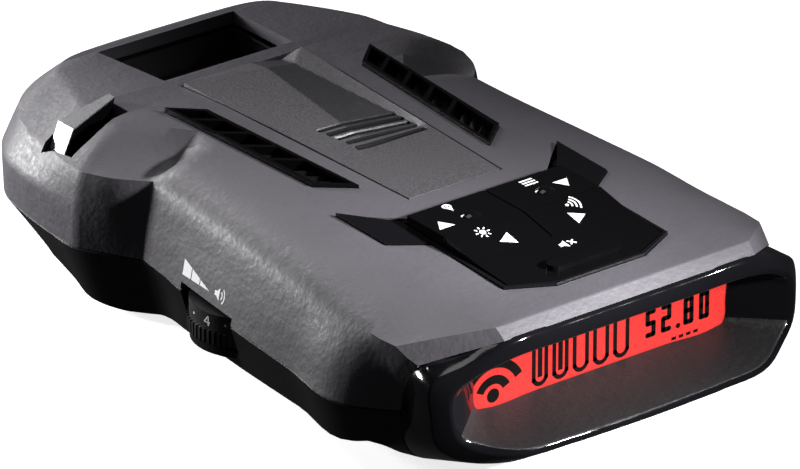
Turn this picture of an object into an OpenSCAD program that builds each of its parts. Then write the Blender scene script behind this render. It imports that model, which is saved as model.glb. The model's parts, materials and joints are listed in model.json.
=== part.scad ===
// Windshield radar detector: moulded case, hooded display, keypad, mount latch and volume wheel.
// X runs across the case, +Y points at the road, +Z is up, and the case rests on Z = 0.

/* [Case] */
// Overall length, from the display hood's lower lip to the nose
case_len = 138; // [132:1:144]
// Overall width, across the rear corners at the parting line
case_w = 82.2; // [79:0.1:86]
// Height of the parting line between the two covers
part_z = 12; // [11.5:0.1:12.5]
// Wall thickness of the moulded covers
wall = 2; // [1.8:0.1:2.2]

/* [Controls] */
// How far each button travels when it is pressed
button_travel = 0.5; // [0.3:0.05:0.6]
// Gap around each button
button_gap = 0.3; // [0.25:0.05:0.4]
// Radius of the volume wheel over its knurling
wheel_r = 10; // [9.6:0.1:10.2]
// Number of knurls round the volume wheel
knurls = 60; // [30:2:72]
// Travel of the release lever, which is pulled to the rear
lever_travel = 4; // [3:0.5:4.5]

/* [Sockets] */
// Depth of the windshield mount's socket
socket_depth = 8.5; // [8:0.1:9]
// Bore radius of the headphone jack
audio_r = 1.8; // [1.75:0.01:1.85]
// Bore length of the headphone jack
audio_len = 12; // [11:0.5:12]

/* [Hidden] */
$fn = 48;
kx = case_w / 82.2;
ky = case_len / 138;

// ---- Case outline. Each ring is one level of the case, as a half loop from the rear centre
// ---- round the right side to the nose, which the mirror closes.

// Places along the right side where the plan changes direction
side_y = [-43, -27, -11, 7, 18, 23, 29, 36, 44];
// Half width at the parting line, narrow at the waist and wide at the head
part_x = [41.1, 40, 38.6, 36.6, 35.2, 38, 41.1, 40.9, 40.1];
// Half width and height of the shoulder edge
edge_x = [37.5, 36.9, 35.6, 34.1, 33.8, 37.4, 39.4, 38.8, 36.8];
edge_z = [24, 24.5, 25.1, 25.8, 25.9, 25.4, 24.9, 24.8, 24.8];
// Half width of the flat deck
deck_x = [24.4, 23, 22, 21, 20.8, 22.2, 26.6, 28.4, 28.2];
// Height of the lower shell's bottom bevel
bevel_z = [4.8, 4.1, 3.5, 2.7, 1.5, 1, 1.6, 2.4, 3.2];
bevel_draft = [0.3, 0.3, 0.29, 0.28, 0.25, 0.24, 0.33, 0.47, 0.58];
bevel_x = [for (i = [0 : 8]) part_x[i] - bevel_draft[i] * (part_z - bevel_z[i])];
floor_x = [for (i = [0 : 8]) bevel_x[i] - 0.8 - 1.7 * bevel_z[i]];

// Height of the deck along the case
function deck_z(y) = lookup(y, [[-62, 27.6], [-30, 28.9], [-6, 29.3], [28, 29.7], [44, 29.2], [62, 28.4]]);
// Right side of a ring at the stations above
function side(xs, zs) = [for (i = [0 : 8]) [xs[i], side_y[i], zs[i]]];
// Rounded nose: a superellipse quarter of half width a, from y0 forward by b
function nose(a, y0, b, n, z) = [for (t = [18, 28, 38, 48, 58, 68, 79, 90])
    [a * pow(max(cos(t), 0), 2 / n), y0 + b * pow(sin(t), 2 / n), z]];
function deck_nose() = [for (p = nose(23.3, 46, 16, 6, 0)) [p[0], p[1], deck_z(p[1])]];
function level(z) = [for (i = [0 : 8]) z];

// The brow over the display, from its centre out to the side wall
brow_edge = [[0, -63.3, 25.9], [13, -63.3, 25.9], [25.2, -63.3, 25.9], [31, -58.6, 23.5],
    [35.5, -54.9, 21.5], [35.6, -50.5, part_z]];
brow_mid = [[0, -62.6, 26.6], [13, -62.6, 26.6], [25.3, -62.6, 26.6], [31.4, -57.5, 24.4],
    [36.2, -53, 22.4], [36.8, -49.5, 18.5]];
brow_top = [[0, -61.5, 27.6], [13, -61.5, 27.6], [25.5, -61.5, 27.6], [31.8, -55.8, 25.6],
    [36.8, -50.9, 23.7], [37.1, -47, 23.7]];
brow_deck = [[0, -61.45, 27.65], [13, -61.4, 27.65], [25.3, -61.2, 27.65], [25.3, -57, 27.7],
    [25.1, -52.5, 27.9], [24.7, -48, 28.1]];

ring_part = concat(brow_edge, side(part_x, level(part_z)), nose(40, 42, 27, 2.4, part_z));
mid_x = part_x * 0.42 + edge_x * 0.58 + [0.5, 0.5, 0.5, 0.5, 0.5, 0.5, 0.5, 0.9, 2];
ring_mid = concat(brow_mid, side(mid_x, level(19)),
    nose(40.2, 42, 27, 2.4, 19));
ring_edge = concat(brow_top, side(edge_x, edge_z), nose(36.9, 43.5, 25.2, 2.2, 24.8));
ring_deck = concat(brow_deck, side(deck_x, [for (y = side_y) deck_z(y)]), deck_nose());

rear_rim = [[0, -50.5, 1.2], [14, -50.5, 1.2], [28, -50.5, 1.5], [32.5, -50.5, 3.2],
    [34.8, -50.5, 6.2], [35.6, -50.5, part_z]];
rear_bevel = [[0, -48.5, 0.7], [14, -48.5, 0.7], [28, -48.3, 1], [32.8, -47.4, 2.6],
    [35.7, -46.3, 4.4], [37.6, -45, 5.2]];
rear_floor = [[0, -42.4, 0], [14, -42.1, 0], [26, -41.5, 0], [27.6, -40, 0], [28.5, -38, 0], [29, -35.5, 0]];
floor_y = [-33, -27, -11, 7, 18, 23, 29, 36, 44];

low_part = concat(rear_rim, side(part_x, level(part_z)), nose(40, 42, 27, 2.4, part_z));
low_bevel = concat(rear_bevel, side(bevel_x, bevel_z), nose(34.6, 42, 22.4, 2.15, 3.4));
low_floor = concat(rear_floor, [for (i = [0 : 8]) [floor_x[i], floor_y[i], 0]],
    nose(30.6, 42, 18.6, 2.2, 0));

// Scales a half ring to the case's size and mirrors it into a whole one
function sized(h) = [for (p = h) [p[0] * kx, p[1] * ky, p[2]]];
function whole(h) = concat(h, [for (i = [len(h) - 2 : -1 : 1]) [-h[i][0], h[i][1], h[i][2]]]);
// Moves each point of a half ring inward by d in plan, and to a height no lower than lo
function inward(h, d, drop, lo) = [for (i = [0 : len(h) - 1])
    let (a = h[max(i - 1, 0)], b = h[min(i + 1, len(h) - 1)],
        tx = (i == 0 || i == len(h) - 1) ? (i == 0 ? 1 : -1) : b[0] - a[0],
        ty = (i == 0 || i == len(h) - 1) ? 0 : b[1] - a[1],
        m = sqrt(tx * tx + ty * ty))
    [max(h[i][0] - d * ty / m, 0), h[i][1] + d * tx / m, max(h[i][2] - drop, lo)]];

// Closed shell through rings that run along the outside and back along the inside. The first ring
// and the last are each spanned from side to side. The outside faces up, or down if flipped.
module shell(halves, flipped) {
    rings = [for (h = halves) whole(sized(h))];
    m = len(rings[0]);
    k = len(rings);
    half = m / 2;
    around = [for (r = [0 : k - 2], j = [0 : m - 1])
        let (a = r * m + j, b = r * m + (j + 1) % m) each [[a, b, b + m], [a, b + m, a + m]]];
    function span(base) = [for (i = [0 : half - 1])
        let (r0 = base + i, r1 = base + i + 1, l0 = base + (m - i) % m, l1 = base + m - i - 1)
        each (i == 0 ? [[r0, l1, r1]]
            : i == half - 1 ? [[r0, l0, r1]] : [[r0, l0, l1], [r0, l1, r1]])];
    function turned(fs) = [for (f = fs) [f[0], f[2], f[1]]];
    faces = concat(around, span(0), turned(span((k - 1) * m)));
    polyhedron([for (r = rings) each r], flipped ? turned(faces) : faces);
}

// Band through closed rings that meet again at the first one, as round a hood
module band(halves) {
    rings = [for (h = halves) whole(sized(h))];
    m = len(rings[0]);
    k = len(rings);
    polyhedron([for (r = rings) each r], [for (r = [0 : k - 1], j = [0 : m - 1])
        let (a = r * m + j, b = r * m + (j + 1) % m,
            c = ((r + 1) % k) * m + (j + 1) % m, d = ((r + 1) % k) * m + j)
        each [[a, b, c], [a, c, d]]]);
}

module mirrored() {
    children();
    mirror([1, 0, 0]) children();
}

// ---- Controls layout

keypad_front = -26.3;
row_split = -36.4;
mute_split = -43.6;
keypad_rear = -55;
keypad_w = 15.6;
button_base = 25.6;
switch_spots = [[-8, -31.2], [8, -31.2], [-8, -40], [8, -40], [0, -48.5]];
plunger_r = 1.1;
wheel_at = [-29.3, -2.7];
wheel_z = [7, 12.2];
lever_y = [37.9, 42.1];
socket_front = 59.8;
socket_rear = 42;
socket_w = [14.1, 13.2];
socket_floor = 28.6 - socket_depth;
case_screw_spots = [[26, -36], [30, 30]];
board_screw_spots = [[18, -38], [18, 12]];
keypad_screw_spots = [[13, -22.8], [18.8, -48.2]];
audio_at = [-16, 8.8];
usb_at = [-29, 8.6];
jack_y = [-4, 8];

// Everything under a plane that passes through heights z0 at y0 and z1 at y1
module under_plane(y0, z0, y1, z1) {
    angle = atan2(z1 - z0, y1 - y0);
    translate([0, y0, z0]) rotate([angle, 0, 0]) translate([-60, -120, -60]) cube([120, 240, 60]);
}

module keypad_outline(grow) {
    g = grow;
    polygon([[-keypad_w - g, keypad_front + g], [keypad_w + g, keypad_front + g],
        [keypad_w + g, -51.8 - g / 2], [8.4 + g / 2, keypad_rear - g],
        [-8.4 - g / 2, keypad_rear - g], [-keypad_w - g, -51.8 - g / 2]]);
}

module wing_outline(grow) {
    g = grow;
    polygon([[15, keypad_front + g], [22.5 + g, -16.9 + g * 2], [22.5 + g, -29.8 - g / 2],
        [16 + g, -34.2 - g], [15, -34.2 - g]]);
}

module surround_outline(grow) {
    keypad_outline(0.9 + grow);
    mirrored() wing_outline(grow);
}

module socket_outline(grow) {
    polygon([[-socket_w[1] - grow, socket_rear - grow], [socket_w[1] + grow, socket_rear - grow],
        [socket_w[0] + grow, socket_front + grow], [-socket_w[0] - grow, socket_front + grow]]);
}

module plate_outline(grow) {
    polygon([[-9.2 - grow, -18.8 - grow], [9.2 + grow, -18.8 - grow],
        [12.1 + grow, 38.1 + grow], [-12.1 - grow, 38.1 + grow]]);
}

module vent_outline(grow) {
    g = grow;
    polygon([[13.3 - g * 0.8, -11 - g * 1.6], [19.1 + g, -6.2 - g * 0.3],
        [21.1 + g * 0.8, 31 + g * 1.6], [15.9 - g, 26.3 + g * 0.3]]);
}

module at_each(spots) {
    for (p = spots) translate([p[0], p[1], 0]) children();
}

module at_each_pair(spots) {
    mirrored() at_each(spots) children();
}

// ---- Case

module top_cover() {
    color("#45424a") difference() {
        union() {
            shell([ring_deck, ring_edge, ring_mid, ring_part,
                inward(ring_part, wall, 1, part_z), inward(ring_mid, wall, 1.3, part_z + 1),
                inward(ring_edge, wall - 0.2, 1.8, part_z + 1), inward(ring_deck, 1.5, 2.2, part_z + 1)], false);
            at_each_pair([case_screw_spots[0]]) translate([0, 0, 4.4]) cylinder(r = 3, h = 22);
            at_each_pair([case_screw_spots[1]]) translate([0, 0, 4.4]) cylinder(r = 3, h = 21.4);
            at_each_pair(keypad_screw_spots) translate([0, 0, 23.2]) cylinder(r = 1.7, h = 3.6);
            translate([-27.5, 49, 18]) cube([6, 1.4, 7.6]);
        }
        translate([0, 0, 10]) linear_extrude(30) socket_outline(0);
        translate([0, 0, 10]) linear_extrude(30) surround_outline(0.15);
        translate([0, 0, deck_z(28) - 1.5]) linear_extrude(10) plate_outline(0.35);
        mirrored() translate([0, 0, 24]) linear_extrude(10) vent_outline(0.1);
        translate([-36.9, lever_y[0] - lever_travel - 0.6, 22]) cube([11.6, lever_travel + 5.1, 10]);
        translate([-42, wheel_at[1] - 7.6, 5]) cube([9, 16, 9]);
        translate([-13.7, 60, 13.3]) cube([27.4, 12, 6.4]);
        translate([33, jack_y[0] - 0.15, 5.85]) cube([8, jack_y[1] - jack_y[0] + 0.3, 10.3]);
        at_each_pair(case_screw_spots) translate([0, 0, 3]) cylinder(r = 0.95, h = 14);
        at_each_pair(keypad_screw_spots) translate([0, 0, 22]) cylinder(r = 0.8, h = 3.6);
    }
}

module bottom_cover() {
    color("#1b1b1d") difference() {
        union() {
            shell([low_floor, low_bevel, low_part,
                concat([[0, -50.5, 3.2], [13.5, -50.5, 3.2], [27, -50.5, 3.5], [30.8, -50.5, 5],
                    [32.8, -50.5, 7.5]], [for (i = [5 : 22]) inward(low_part, wall, 0, part_z)[i]]),
                concat([[0, -48.4, 2.8], [13.5, -48.4, 2.8], [27, -48, 3.1], [31, -47, 4.6],
                    [33.6, -46, 6], [35.4, -44.5, 6.6]],
                    [for (i = [6 : 22]) inward(low_bevel, wall, -1.4, 0)[i]]),
                concat([[0, -41.9, 2], [13.5, -41.6, 2], [25.5, -41, 2], [26.8, -39.6, 2],
                    [27.5, -37.6, 2], [27.9, -35, 2]],
                    [for (i = [6 : 22]) inward(low_floor, 0.8, -2, 0)[i]])], true);
            at_each_pair(case_screw_spots) translate([0, 0, 1]) cylinder(r = 4, h = 3.4);
            at_each_pair(board_screw_spots) translate([0, 0, 1]) cylinder(r = 2.4, h = 3.6);
            wheel_blister();
        }
        at_each_pair(case_screw_spots) translate([0, 0, -1]) cylinder(r = 2.6, h = 3.6);
        at_each_pair(case_screw_spots) translate([0, 0, -1]) cylinder(r = 1.3, h = 9);
        at_each_pair(board_screw_spots) translate([0, 0, 2.6]) cylinder(r = 0.8, h = 4);
        translate([-20.2, -18.2, -1]) cube([40.4, 26.4, 1.6]);
        translate([-42, wheel_at[1] - 7.6, 6.4]) cube([9, 16, 9]);
        translate([wheel_at[0], wheel_at[1], 6.4]) cylinder(r = wheel_r + 0.5, h = 8);
        translate([-13.7, 60, 13.3]) cube([27.4, 12, 6.4]);
        translate([33, jack_y[0] - 0.15, 5.85]) cube([8, jack_y[1] - jack_y[0] + 0.3, 10.3]);
        translate([30, audio_at[0], audio_at[1]]) rotate([0, 90, 0]) cylinder(r = 2.6, h = 12);
        translate([30, usb_at[0] - 4.1, usb_at[1] - 1.6]) cube([12, 8.2, 3.2]);
    }
}

// Lip of the lower cover that bulges out under the volume wheel
module wheel_blister() {
    intersection() {
        translate([wheel_at[0], wheel_at[1], 0]) union() {
            translate([0, 0, 5.2]) cylinder(r = wheel_r - 0.4, h = 1.3);
            translate([0, 0, 3.4]) cylinder(r1 = wheel_r - 3.4, r2 = wheel_r - 0.4, h = 1.8);
        }
        translate([-44, wheel_at[1] - 12, 0]) cube([9.6, 24, 12]);
    }
}

// Rings of the display hood, from the top centre round the right side to the bottom centre
hood_joint = [[0, -63.35, 25.75], [13, -63.35, 25.75], [25.1, -63.35, 25.75], [31, -58.8, 23.3],
    [35.3, -55.1, 21.3], [35.6, -50.6, part_z], [34.8, -50.6, 6.2], [32.5, -50.6, 3.2],
    [28, -50.6, 1.5], [14, -50.6, 1.2], [0, -50.6, 1.2]];
hood_crease = [[0, -63.7, 25.3], [13, -63.7, 25.3], [25.6, -63.7, 25], [31.4, -61.4, 22.8],
    [36.6, -59.6, 20.4], [37, -60, 14.5], [36.1, -60.4, 9.8], [32.8, -61.6, 7],
    [26.8, -63.8, 5.5], [13.6, -64.8, 5.2], [0, -65, 5.2]];
hood_lip = [[0, -63.9, 23.6], [13, -63.9, 23.6], [25.6, -63.9, 23.4], [31.2, -62.9, 21.4],
    [34.3, -62.1, 19], [34.7, -62.3, 14.5], [33.8, -62.8, 11.2], [30.6, -64.3, 8.8],
    [25.8, -67, 7.6], [13.5, -68.7, 7.4], [0, -69, 7.4]];
hood_mouth = [[0, -63.7, 22.6], [13, -63.7, 22.6], [25.2, -63.7, 22.4], [30.3, -62.7, 20.7],
    [33.2, -61.9, 18.7], [33.7, -62, 14.5], [32.9, -62.5, 11.8], [29.9, -64, 9.9],
    [25.2, -66.7, 8.7], [13.3, -68.3, 8.5], [0, -68.6, 8.5]];
hood_back = [[0, -56, 20.5], [13, -56, 20.5], [23.6, -56, 20.5], [24.8, -56, 20.2],
    [25.2, -56, 19.4], [25.3, -56, 15], [25.2, -56, 12.2], [24.8, -56, 11.4],
    [23.6, -56, 11.1], [13, -56, 11.1], [0, -56, 11.1]];
hood_frame = [[0, -56, 21.9], [13, -56, 21.9], [24, -56, 21.9], [26, -56, 21.7],
    [26.8, -56, 20.6], [27, -56, 15], [26.8, -56, 11.2], [26.2, -56, 9.8],
    [24.4, -56, 9.4], [13, -56, 9.4], [0, -56, 9.4]];
hood_inner = [[0, -61.8, 23.7], [13, -61.8, 23.7], [24.5, -61.8, 23.6], [29.6, -59.4, 21.5],
    [34.2, -57.8, 19], [34.8, -58.2, 14.2], [34, -58.6, 10.6], [31.8, -59.6, 8.6],
    [27.2, -61.6, 7.6], [14, -62.2, 7.4], [0, -62.2, 7.4]];
hood_seat = [[0, -61.7, 24.4], [13, -61.7, 24.4], [24.3, -61.7, 24.3], [29.8, -57.6, 21.8],
    [33.6, -54.6, 19.8], [33.8, -50.6, part_z], [33, -50.6, 7.4], [31, -50.6, 5],
    [27.2, -50.6, 3.5], [13.6, -50.6, 3.2], [0, -50.6, 3.2]];

module rear_bezel() {
    color("#141416")
        band([hood_joint, hood_crease, hood_lip, hood_mouth, hood_back, hood_frame, hood_inner, hood_seat]);
}

// Dark window in the nose that the laser sensor looks through
module front_window() {
    color("#2a0d10") translate([-13.6, 66, 13.4]) cube([27.2, 1.9, 6.2]);
}

// ---- Deck trim

module gps_plate() {
    plate_z = deck_z(28) - 1.5;
    color("#8b8890") difference() {
        intersection() {
            translate([0, 0, plate_z]) linear_extrude(6) plate_outline(0);
            under_plane(-18.8, 29.15, 38.1, 29.95);
        }
        for (i = [0 : 4])
            translate([-6.2, 8.8 - 2 * i, 29.8]) rotate([0, 90, 0]) cylinder(r = 0.55, h = 15.4);
    }
}

// Grille frame with five cross ribs over a slanted louvre floor
module vent_grille() {
    rib_pitch = 6.2;
    intersection() {
        union() {
            difference() {
                translate([0, 0, 27.4]) linear_extrude(4) vent_outline(0);
                translate([0, 0, 27]) linear_extrude(6) vent_outline(-0.8);
            }
            intersection() {
                translate([0, 0, 27.4]) linear_extrude(4) vent_outline(-0.4);
                union() {
                    for (i = [1 : 5])
                        translate([10, -8.6 + rib_pitch * i, 27.4]) rotate([0, 0, 38])
                            cube([16, 0.8, 3.6]);
                    translate([10, -16, 27.4]) cube([14, 50, 0.6]);
                }
            }
        }
        under_plane(-11, 29.8, 31, 30.6);
    }
}

module left_vent_grille() {
    color("#161618") mirror([1, 0, 0]) vent_grille();
}

module right_vent_grille() {
    color("#161618") vent_grille();
}

// ---- Keypad

module button_surround() {
    color("#0c0c0e") intersection() {
        difference() {
            translate([0, 0, 26.2]) linear_extrude(5) surround_outline(0);
            translate([0, 0, 20]) linear_extrude(20) keypad_outline(button_gap);
        }
        under_plane(-56, 28.2, -17, 29.7);
    }
}

module plunger(index) {
    color("#e8e4d8") translate([switch_spots[index][0], switch_spots[index][1], 24.4])
        cylinder(r = plunger_r, h = button_base - 24.4);
}

// Cap over one half of a button row, with its inner edge at the divider
module button_cap(side, y0, y1, z0, z1) {
    g = button_gap / 2;
    intersection() {
        translate([side > 0 ? g : -keypad_w, y1 + g, button_base])
            cube([keypad_w - g, y0 - y1 - 2 * g, 6]);
        under_plane(y1, z1, y0, z0);
    }
}

// Raised dot that marks a button to the touch
module touch_dot(side) {
    translate([7.5 * side, -32.5, 28.85]) sphere(r = 2.5);
}

module mark_button() {
    color("#101012") union() {
        button_cap(-1, keypad_front, row_split, 30.8, 30.7);
        touch_dot(-1);
    }
}

module menu_button() {
    color("#101012") union() {
        button_cap(1, keypad_front, row_split, 30.8, 30.7);
        touch_dot(1);
    }
}

module dim_button() {
    color("#101012") button_cap(-1, row_split, mute_split, 30.7, 29.1);
}

module sen_button() {
    color("#101012") button_cap(1, row_split, mute_split, 30.7, 29.1);
}

module mute_button() {
    color("#101012") intersection() {
        union() {
            intersection() {
                translate([0, 0, button_base]) linear_extrude(6) intersection() {
                    keypad_outline(0);
                    translate([-20, -60]) square([40, 60 + mute_split - button_gap / 2]);
                }
                under_plane(keypad_rear, 28.1, mute_split, 29.1);
            }
            translate([0, 0, button_base]) linear_extrude(4) bar_outline();
        }
        under_plane(keypad_rear, 29, mute_split, 30);
    }
}

// Long touch bar across the mute button
module bar_outline() {
    translate([-6, -53]) square([12, 2.6]);
    for (s = [-1, 1]) translate([6 * s, -51.7]) circle(r = 1.3);
}

module tact_switches() {
    color("#3a3a3e") for (p = switch_spots) translate([p[0], p[1], 23.2]) difference() {
        translate([-2.6, -2.6, 0]) cube([5.2, 5.2, button_base - button_travel - 23.2 - 0.05]);
        translate([0, 0, 0.4]) cylinder(r = plunger_r + 0.08, h = 3);
    }
}

module keypad_board() {
    color("#1f5c38") difference() {
        translate([0, 0, 22]) linear_extrude(1.2) union() {
            translate([-20.8, -54.5]) square([41.6, 8]);
            translate([-16.8, -54.5]) square([33.6, 34]);
        }
        at_each_pair(keypad_screw_spots) translate([0, 0, 20]) cylinder(r = 0.95, h = 5);
    }
}

module keypad_screws() {
    color("#b8b8bc") at_each_pair(keypad_screw_spots) {
        translate([0, 0, 21.1]) cylinder(r = 1.5, h = 0.88);
        translate([0, 0, 21.1]) cylinder(r = 0.76, h = 4);
    }
}

// ---- Mount socket and release

module mount_socket() {
    color("#0f0f11") difference() {
        translate([0, 0, socket_floor - 1.2]) linear_extrude(25.4 - socket_floor + 1.2) socket_outline(1.4);
        translate([0, 0, socket_floor]) linear_extrude(20) socket_outline(0);
        translate([-17, 45.9 - lever_travel, 20.3]) cube([6, lever_travel + 4.7, 2.5]);
    }
}

module release_lever() {
    color("#b9b9be") intersection() {
        translate([0, lever_y[1], 0]) rotate([90, 0, 0]) linear_extrude(lever_y[1] - lever_y[0])
            polygon([[-25, 30.5], [-34.6, 28], [-36.6, 23.8], [-36.2, 22.6], [-27, 22.6], [-26.4, 26.5]]);
        translate([0, 0, 20]) linear_extrude(12) polygon([[-24, 41.2], [-34.6, 42.1], [-38, 41.6],
            [-38, lever_y[0]], [-34.6, lever_y[0]], [-24, 39.9]]);
    }
}

module latch_hook() {
    color("#c9c9c4") union() {
        translate([-34.4, lever_y[0] + 0.2, 20.6]) cube([17.8, 3.8, 2]);
        translate([-19.2, lever_y[0] + 0.2, 20.6]) cube([2.6, 12, 2]);
        translate([-19.2, 46.4, 20.6]) cube([5.6, 3.7, 2]);
        translate([-26.6, lever_y[0] + 0.2, 20.6]) cube([4, 3.8, 2.6]);
    }
}

// Coil of the latch spring, wound along Y
spring_r = 1.25;
spring_wire = 0.3;
spring_turns = 6;
spring_from = lever_y[1];
spring_to = 48.9;

module latch_spring() {
    steps = spring_turns * 12;
    sides = 6;
    function coil(i) = let (a = i * 30) [-24.6 + spring_r * cos(a),
        spring_from + spring_wire + 0.1
            + (spring_to - spring_from - 2 * spring_wire - 0.2) * i / steps,
        21.9 + spring_r * sin(a)];
    points = [for (i = [0 : steps], s = [0 : sides - 1])
        let (a = i * 30, w = s * 360 / sides, c = coil(i))
        [c[0] + spring_wire * cos(w) * cos(a), c[1] + spring_wire * sin(w),
            c[2] + spring_wire * cos(w) * sin(a)]];
    faces = [for (i = [0 : steps - 1], s = [0 : sides - 1])
        let (p = i * sides + s, q = i * sides + (s + 1) % sides)
        each [[p, q + sides, q], [p, p + sides, q + sides]]];
    ends = [[for (s = [0 : sides - 1]) s], [for (s = [sides - 1 : -1 : 0]) steps * sides + s]];
    color("#a9a9ad") polyhedron(points, concat(faces, ends));
}

// ---- Volume

module volume_wheel() {
    color("#111113") translate([wheel_at[0], wheel_at[1], 0]) difference() {
        union() {
            translate([0, 0, wheel_z[0]]) cylinder(r = wheel_r - 0.4, h = wheel_z[1] - wheel_z[0]);
            for (i = [0 : knurls - 1]) rotate([0, 0, i * 360 / knurls])
                translate([wheel_r - 0.7, -0.25, wheel_z[0]]) cube([0.7, 0.5, 2.2]);
        }
        translate([0, 0, 6]) cylinder(r = 1.5, h = 8);
    }
}

module volume_shaft() {
    color("#c8c8cc") translate([wheel_at[0], wheel_at[1], 6]) cylinder(r = 1.5, h = 6.6);
}

module volume_pot() {
    color("#2c2f3a") translate([wheel_at[0], wheel_at[1], 5.8]) difference() {
        cylinder(r = 3.9, h = 1);
        translate([0, 0, 0.15]) cylinder(r = 1.56, h = 3);
    }
}

// ---- Display

module display_window() {
    color("#c02024") translate([-26.4, -55.9, 9.6]) cube([52.8, 0.8, 12]);
}

module display_panel() {
    color("#f23c3c") translate([-25.6, -55.05, 10]) cube([51.2, 1.6, 11.3]);
}

module display_holder() {
    color("#222226") difference() {
        translate([-27.8, -55.05, 7.6]) cube([55.6, 3.4, 14.2]);
        translate([-25.7, -56, 9.9]) cube([51.4, 2.6, 11.5]);
        translate([-23, -56, 11.5]) cube([46, 8, 8]);
    }
}

module display_board() {
    color("#1f5c38") translate([-27, -51.6, 7.6]) cube([54, 1, 14]);
}

// Ribbon from the display board down to the main board
module display_flex() {
    color("#b5762c") translate([7, 0, 0]) rotate([90, 0, -90]) linear_extrude(14)
        polygon([[50.58, 9], [50.28, 9], [50.28, 7.4], [49, 6.15], [43, 6.15], [43, 5.85],
            [49.1, 5.85], [50.58, 7.3]]);
}

// ---- Electronics

module main_board() {
    color("#1f5c38") difference() {
        translate([0, 0, 4.6]) linear_extrude(1.2) union() {
            translate([-21.6, -45]) square([43.2, 62]);
            translate([-33.2, -8]) square([12, 11]);
        }
        at_each_pair(board_screw_spots) translate([0, 0, 3]) cylinder(r = 1, h = 5);
    }
}

module board_chips() {
    color("#26262a") translate([0, 0, 5.8]) union() {
        translate([-8, -30, 0]) cube([14, 14, 1.6]);
        translate([-12, -8, 0]) cube([10, 8, 1.2]);
        translate([6, -6, 0]) cube([7, 7, 1.4]);
        translate([-4, 6, 0]) cube([8, 5, 1.2]);
        for (i = [0 : 3]) translate([11 + 2.4 * (i % 2), -30 + 5 * i, 0]) cube([1.6, 3, 1]);
        translate([-16, -22, 0]) cylinder(r = 2.5, h = 5);
        translate([-16, -14, 0]) cylinder(r = 2.5, h = 5);
    }
}

module board_screws() {
    color("#b8b8bc") at_each_pair(board_screw_spots) {
        translate([0, 0, 5.82]) cylinder(r = 1.8, h = 1.1);
        translate([0, 0, 2.8]) cylinder(r = 0.76, h = 4);
    }
}

// Flared horn, open at its mouth, on four feet
module antenna_horn() {
    color("#a7a9ac") difference() {
        union() {
            hull() {
                translate([-8, 22, 5]) cube([16, 1, 7]);
                translate([-17, 56, 4.2]) cube([34, 1, 8.6]);
            }
            mirrored() translate([5, 26, 2]) cube([3, 3, 4]);
            mirrored() translate([12, 50, 2]) cube([3, 3, 4]);
        }
        hull() {
            translate([-6.6, 23.5, 6.2]) cube([13.2, 1, 4.6]);
            translate([-15.6, 56.2, 5.3]) cube([31.2, 1, 6.4]);
        }
    }
}

module horn_lens() {
    color("#d9d4c4") translate([0, 0, 5.4]) linear_extrude(6.2) intersection() {
        translate([0, -0.8]) circle(r = 60, $fn = 360);
        translate([-17, 57.1]) square([34, 4]);
    }
}

module rf_board() {
    color("#2b6a55") translate([-15, -9, 13.4]) cube([30, 43, 1.2]);
}

module rf_shield() {
    color("#b4b6b8") difference() {
        translate([-12, -2, 14.6]) cube([24, 26, 4]);
        translate([-11.6, -1.6, 14.4]) cube([23.2, 25.2, 3.8]);
    }
}

module laser_sensor() {
    color("#2e2e33") difference() {
        translate([-12, 58, 13.3]) cube([24, 4, 5.4]);
        for (s = [-1, 1]) translate([8 * s, 59.5, 16]) rotate([-90, 0, 0]) cylinder(r = 1.6, h = 4);
    }
}

module laser_lenses() {
    color("#7d2b3c") for (s = [-1, 1]) translate([8 * s, 62.05, 16]) rotate([-90, 0, 0])
        cylinder(r = 2.5, h = 3.6);
}

module gps_board() {
    color("#1f5c38") translate([-11, 3, 20.2]) cube([22, 24, 1]);
}

module gps_antenna() {
    color("#cfc6b0") union() {
        translate([-9, 6, 21.2]) cube([18, 18, 4]);
        translate([-6.5, 8.5, 25.2]) cube([13, 13, 0.1]);
    }
}

speaker_at = [-22.6, 12];

module speaker_frame() {
    color("#2a2a2e") translate([speaker_at[0], speaker_at[1], 0]) difference() {
        union() {
            translate([0, 0, 20.4]) cylinder(r1 = 6, r2 = 9, h = 2.2);
            translate([0, 0, 22.6]) cylinder(r = 9, h = 0.8);
        }
        translate([0, 0, 20.9]) cylinder(r1 = 5.2, r2 = 8.4, h = 2.6);
    }
}

module speaker_cone() {
    color("#3c3833") translate([speaker_at[0], speaker_at[1], 0]) rotate_extrude()
        polygon([[0, 21.5], [3, 21.5], [7.9, 23.1], [7.9, 23.4], [2.9, 21.8], [0, 21.8]]);
}

module speaker_magnet() {
    color("#8f8f94") translate([speaker_at[0], speaker_at[1], 16.4]) cylinder(r = 5.8, h = 4);
}

// ---- Sockets on the right side

module power_jack() {
    color("#17171a") difference() {
        translate([23.5, jack_y[0], 6]) cube([12.7, jack_y[1] - jack_y[0], 10]);
        translate([25, jack_y[0] + 1.6, 7.6]) cube([12, jack_y[1] - jack_y[0] - 3.2, 6.2]);
        translate([25, jack_y[0] + 4.2, 13]) cube([12, jack_y[1] - jack_y[0] - 8.4, 1.8]);
    }
}

module audio_jack() {
    color("#1a1a1c") translate([0, audio_at[0], audio_at[1]]) difference() {
        union() {
            translate([23.4, -3.2, -2.9]) cube([10.6, 6.4, 5.6]);
            translate([23.4, 0, 0]) rotate([0, 90, 0]) cylinder(r = 2.5, h = 13.6);
        }
        translate([37 - audio_len, 0, 0]) rotate([0, 90, 0]) cylinder(r = audio_r, h = audio_len + 1);
    }
}

module usb_port() {
    color("#b5b7b9") translate([0, usb_at[0], usb_at[1]]) difference() {
        translate([30.5, -3.9, -1.45]) cube([7.6, 7.8, 2.9]);
        translate([31.1, -3.5, -1.05]) cube([8, 7, 2.1]);
    }
}

// ---- Fasteners and label

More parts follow.
